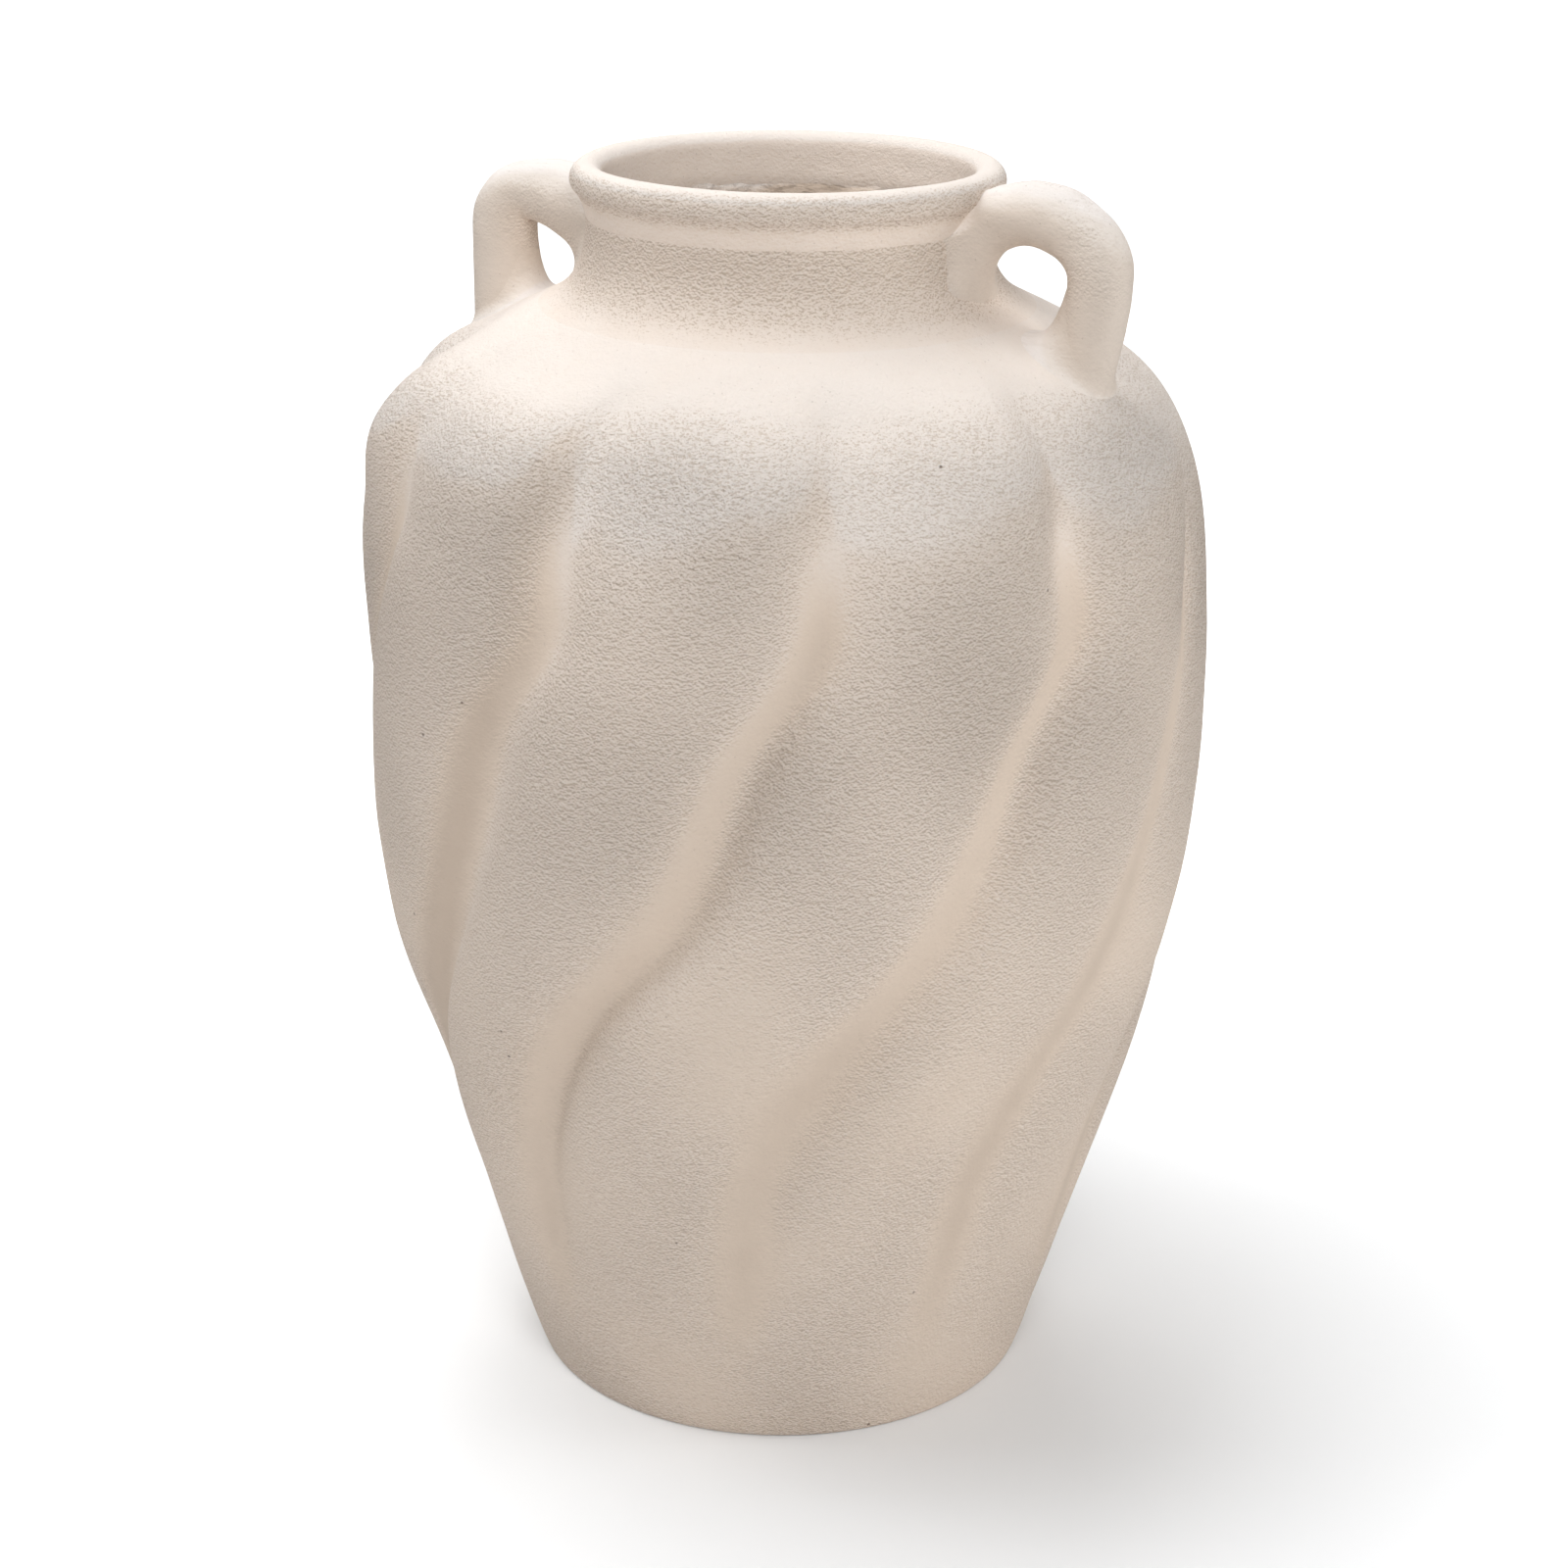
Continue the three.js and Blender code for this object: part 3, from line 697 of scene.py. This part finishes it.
# Rim. A coil rolled over the top of the collar and rounded with a wet cloth, sandy
# on its outer face, with a soft hollow drawn under it.
ROLL_RADIUS = 0.0064
ROLL_CENTRE = (0.0778, 0.4935)
ROLL_START = math.radians(-58)
ROLL_END = math.radians(178)
ROLL_ROWS = 13
# Unevenness, and how far the top dips below the full height.
RIM_WAVES = ((0.04, 0.0003), (0.013, 0.00015))
DIP_SIZE, DIP_WAVE, DIP_DEPTH = 0.05, 0.0004, 0.0003
# Sand, most of it on the outer face, and wash, least in the hollow under the roll.
RIM_SAND, FACE_SAND = 0.15, 0.5
FACE_BAND = (0.482, 0.489, 0.4965, 0.4995)
RIM_WASH, HOLLOW_TAKES = 0.15, 0.35
HOLLOW_END = (0.483, 0.489)

around = np.linspace(ROLL_START, ROLL_END, ROLL_ROWS)
roll_rows = np.column_stack([ROLL_CENTRE[0] + ROLL_RADIUS * np.cos(around),
                             ROLL_CENTRE[1] + ROLL_RADIUS * np.sin(around)])
under_rows = [(NECK_RADIUS - 0.0012, NECK_TOP - 0.003), (NECK_RADIUS - 0.0001, NECK_TOP - 0.0005),
              (NECK_RADIUS + 0.0006, NECK_TOP + 0.002), (NECK_RADIUS + 0.0015, NECK_TOP + 0.0055)]
bore_rows = [(NECK_BORE + 0.0006, NECK_TOP + 0.008), (NECK_BORE - 0.0002, NECK_TOP + 0.003),
             (NECK_BORE + 0.0004, NECK_TOP - 0.003)]
rim = closed_ring("rim_roll", NECK_SIDES, [*under_rows, *roll_rows, *bore_rows])
shape = corners(rim)
reach = np.hypot(shape[:, 0], shape[:, 1])
rise = smooth(NECK_TOP + 0.002, NECK_TOP + 0.012, shape[:, 2])
push_out(rim, shape, (reach + waves(shape, RIM_WAVES) * rise) / reach)
shape[:, 2] += np.minimum(lumps(shape, DIP_SIZE) * DIP_WAVE - DIP_DEPTH, 0) * rise
put_corners(rim, shape)
height = shape[:, 2]
outer = smooth(ROLL_CENTRE[0] + 0.001, ROLL_CENTRE[0] + 0.0045, reach)
washed = top_lit_wash(rim) + RIM_WASH - HOLLOW_TAKES * outer * (1 - smooth(*HOLLOW_END, height))
paint(rim, grain=RIM_SAND + FACE_SAND * outer * between(FACE_BAND, height), wash=washed)
rim.data.materials.append(clay("rim_clay", grain=0.0022, dust=0.0006, pits=0.05, tints=WASH_TINTS))
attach(rim, "root")
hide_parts("rim_roll")


# Loop handles. Each is a pulled strap of clay, bent over and pressed onto the neck
# under the rim and onto the shoulder, with its upper joint smoothed by a finger.
STRAP_SIDES = 28
STRAP_STEPS = 40
STRAIGHT_ROWS = 9
FLARE_ROWS = 7
EDGE_SINK = 0.0004
END_DEPTH = 0.0045
KNEE_PULL = 0.010
FOOT_FLARE = 0.002
# Dents of the thumbed clay: their waves, their height on the straps, and how far from the pot
# they start and are full.
THUMB_WAVES = ((0.022, 1), (0.009, 0.35))
STRAP_THUMBED = 0.0009
CALM_EDGE = (0.0008, 0.007)
HANDLE_CLAY = {"grain": 0.0014, "dust": 0.0007, "pits": 0.04, "tints": HANDLE_TINTS, "wipe": 0.0006}


def surfaces(pieces):
    """One search tree over the faces of some pieces."""
    points = []
    faces = []
    for piece in pieces:
        start = len(points)
        points += [corner.co.copy() for corner in piece.data.vertices]
        faces += [[start + i for i in face.vertices] for face in piece.data.polygons]
    return BVHTree.FromPolygons(points, faces)


def above(ground, place):
    """The nearest spot of the ground, its normal, and how far above it the place is."""
    spot, normal, _, _ = ground.find_nearest(Vector(place))
    spot, normal = np.array(spot), np.array(normal)
    return spot, normal, float((place - spot) @ normal)


def part_way(track, index):
    """The place at a fractional index of a track."""
    return np.array([np.interp(index, np.arange(len(track)), column) for column in track.T])


def strap_tracks(side, bend, foot, half):
    """The centre line of a handle, and the lines that its sides follow, from the neck to the foot."""
    over = bow(bend, STRAP_STEPS * 3 // 4)
    (knee_x, knee_z), (foot_x, foot_z) = bend[3], foot
    knee, heel = (knee_x, knee_z - KNEE_PULL), (foot_x, foot_z + KNEE_PULL)
    down = bow([bend[3], knee, heel, foot], STRAP_STEPS // 4)
    line = np.concatenate([over, down[1:]])
    along = np.gradient(line, axis=0)
    along /= np.hypot(*along.T)[:, None]
    thick = np.interp(np.linspace(0, 2, len(line)), [0, 1, 2], half)
    turn = np.arange(STRAP_SIDES) * 2 * math.pi / STRAP_SIDES
    centre = np.column_stack([line[:, 0] * side, np.zeros(len(line)), line[:, 1]])
    upward_side = np.column_stack([-along[:, 1] * side, np.zeros(len(line)), along[:, 0]])
    sideways = np.sin(turn)[None, :, None] * np.array((0, 1, 0))
    round_it = np.cos(turn)[None, :, None] * upward_side[:, None] + sideways
    tracks = centre[:, None] + thick[:, None, None] * round_it
    return centre, tracks


def joint(centre, tracks, ground, spread_at):
    """Runs the sides of a strap from its middle out onto the ground in a smooth flare.

    spread_at gives the flare's height and reach for a direction. Returns the rows of the straight
    part, those of the flare and one closing row inside the ground."""
    straight = []
    flare = []
    step = np.linalg.norm(np.diff(centre, axis=0), axis=1).mean()
    for track in tracks.transpose(1, 0, 2):
        gaps = [above(ground, place)[2] for place in track]
        last = next((i for i, gap in enumerate(gaps) if gap < 0), len(gaps) - 1)
        meets = last - 1 + gaps[last - 1] / (gaps[last - 1] - min(gaps[last], -1e-6))
        corner = part_way(track, meets)
        _, normal, _ = above(ground, corner)
        outward = corner - part_way(centre, meets)
        outward -= normal * (outward @ normal)
        outward /= np.linalg.norm(outward)
        height, reach = spread_at(corner, outward)
        leaves = max(meets - height / step, 0)
        spot, normal, _ = above(ground, corner + outward * reach)
        edge = spot - normal * EDGE_SINK
        t = np.linspace(0, 1, FLARE_ROWS)[:, None]
        straight.append([part_way(track, index) for index in np.linspace(0, leaves, STRAIGHT_ROWS + 1)[:-1]])
        flare.append(part_way(track, leaves) * (1 - t) ** 2 + corner * 2 * t * (1 - t) + edge * t * t)
    straight = np.array(straight).transpose(1, 0, 2)
    flare = np.array(flare).transpose(1, 0, 2)
    middle = flare[-1].mean(axis=0)
    into = centre[-1] - centre[-2]
    close = middle + (flare[-1] - middle) * 0.4 + into / np.linalg.norm(into) * END_DEPTH
    return straight, flare, close[None]


def tube(name, rows):
    """A closed tube of clay through rows of corners."""
    sides = rows.shape[1]
    piece = ring_of_corners(name, sides, 1, 0)
    pull([(1, row) for row in range(len(rows))])
    bpy.ops.mesh.edge_face_add()
    bpy.ops.mesh.select_all(action="DESELECT")
    bpy.ops.mesh.select_non_manifold()
    bpy.ops.mesh.edge_face_add()
    bpy.ops.object.mode_set(mode="OBJECT")
    rest = corners(piece)
    turn = np.round(np.arctan2(rest[:, 1], rest[:, 0]) * sides / (2 * math.pi)).astype(int) % sides
    put_corners(piece, rows[np.round(rest[:, 2]).astype(int), turn])
    bpy.ops.object.mode_set(mode="EDIT")
    fire(piece, 2)
    return piece


def thumb(piece, line, ground, height):
    """Unevenness of hand-worked clay, away from the piece's edges."""
    shape = corners(piece)
    out = shape - line[np.argmin(((shape[:, None] - line[None]) ** 2).sum(axis=2), axis=1)]
    out /= np.maximum(np.linalg.norm(out, axis=1), 1e-6)[:, None]
    free = smooth(*CALM_EDGE, np.array([above(ground, place)[2] for place in shape]))
    put_corners(piece, shape + out * (waves(shape, THUMB_WAVES) * free * height)[:, None])


def handle_top_light(piece):
    """Stronger painted light from above on a handle: its sides get little whitewash and its top all of it.
    """
    return top_lit_wash(piece) * 1.5 - 0.5


def foot_spread(corner, outward):
    """Height and reach of the strap's own flare at its foot, where the wad hides it."""
    return FOOT_FLARE, 0


pot = surfaces([wall, collar, rim])

# Each handle: its way, the curve over the top, its foot, three half thicknesses, and the height
# and reach of its upper joint at the sides and underneath.
HANDLES = {
    "right": (1, [(0.072, 0.468), (0.092, 0.501), (0.130, 0.4876), (0.130, 0.465)], (0.1238, 0.422),
              (0.0105, 0.0130, 0.0116), ((0.012, 0.013), (0.018, 0.023))),
    "left": (-1, [(0.072, 0.468), (0.098, 0.477), (0.129, 0.491), (0.129, 0.461)], (0.1265, 0.422),
             (0.0190, 0.0120, 0.0150), ((0.010, 0.010), (0.017, 0.022))),
}
# The same for the joint's upper side, under the rim.
CREST_JOINT = np.array((0.0015, 0.0008))

strap_look = clay("handle_clay", **HANDLE_CLAY)
straps = {}
for side, (way, bend, foot, half, (beside, below)) in HANDLES.items():
    centre, tracks = strap_tracks(way, bend, foot, half)
    top = len(centre) // 2

    def root_spread(corner, outward):
        under = smooth(0.1, 0.9, -outward[2])
        over = max(smooth(0.1, 0.6, outward[2]), smooth(NECK_TOP, NECK_TOP + 0.006, corner[2]))
        spread = np.array(beside) + (np.array(below) - np.array(beside)) * under
        return spread + (CREST_JOINT - spread) * over

    root = np.concatenate(joint(centre[top::-1], tracks[top::-1], pot, root_spread))
    limb = np.concatenate(joint(centre[top:], tracks[top:], pot, foot_spread))
    piece = tube(f"handle_{side}", np.concatenate([root[::-1], limb[1:]]))
    thumb(piece, centre, pot, STRAP_THUMBED)
    sandy = np.clip(0.15 + 0.25 * lumps(corners(piece), 0.03), 0.03, 0.5)
    paint(piece, grain=sandy, wash=handle_top_light(piece), wiped=0.4)
    piece.data.materials.append(strap_look)
    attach(piece, "root")
    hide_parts(f"handle_{side}")
    straps[side] = (centre[top:], tracks[top:])


# Handle wads. Soft clay thumbed round each handle's foot and drawn out over the
# shoulder, most towards the neck, so that the strap grows out of the wall without a step.
WAD_SINK = 0.0003
WAD_THUMBED = 0.0006
# About half the thickness of a strap.
STRAP_HALF = 0.013
# Height and reach of each wad towards the neck, beside the strap and away from the neck.
WADS = {
    "right": ((0.026, 0.018), (0.008, 0.006), (0.010, 0.004)),
    "left": ((0.020, 0.010), (0.006, 0.005), (0.006, 0.004)),
}

for side, (inner, beside, outer) in WADS.items():
    way = HANDLES[side][0]
    centre, tracks = straps[side]
    inside = centre[:, None] + (tracks - centre[:, None]) * (1 - WAD_SINK / STRAP_HALF)

    def wad_spread(corner, outward):
        towards = -outward[0] * way / math.hypot(outward[0], outward[1])
        share = smooth(0.0, 1.0, abs(towards))
        return np.array(beside) + (np.array(inner if towards > 0 else outer) - np.array(beside)) * share

    _, flare, close = joint(centre, inside, pot, wad_spread)
    top = flare[0].mean(axis=0)
    lid = top + (flare[0] - top) * 0.6
    wad = tube(f"handle_wad_{side}", np.concatenate([lid[None], flare, close]))
    thumb(wad, centre, pot, WAD_THUMBED)
    paint(wad, grain=0.12, wash=handle_top_light(wad), wiped=0.5)
    wad.data.materials.append(clay(f"wad_clay_{side}", **HANDLE_CLAY))
    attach(wad, "root")
    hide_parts(f"handle_wad_{side}")
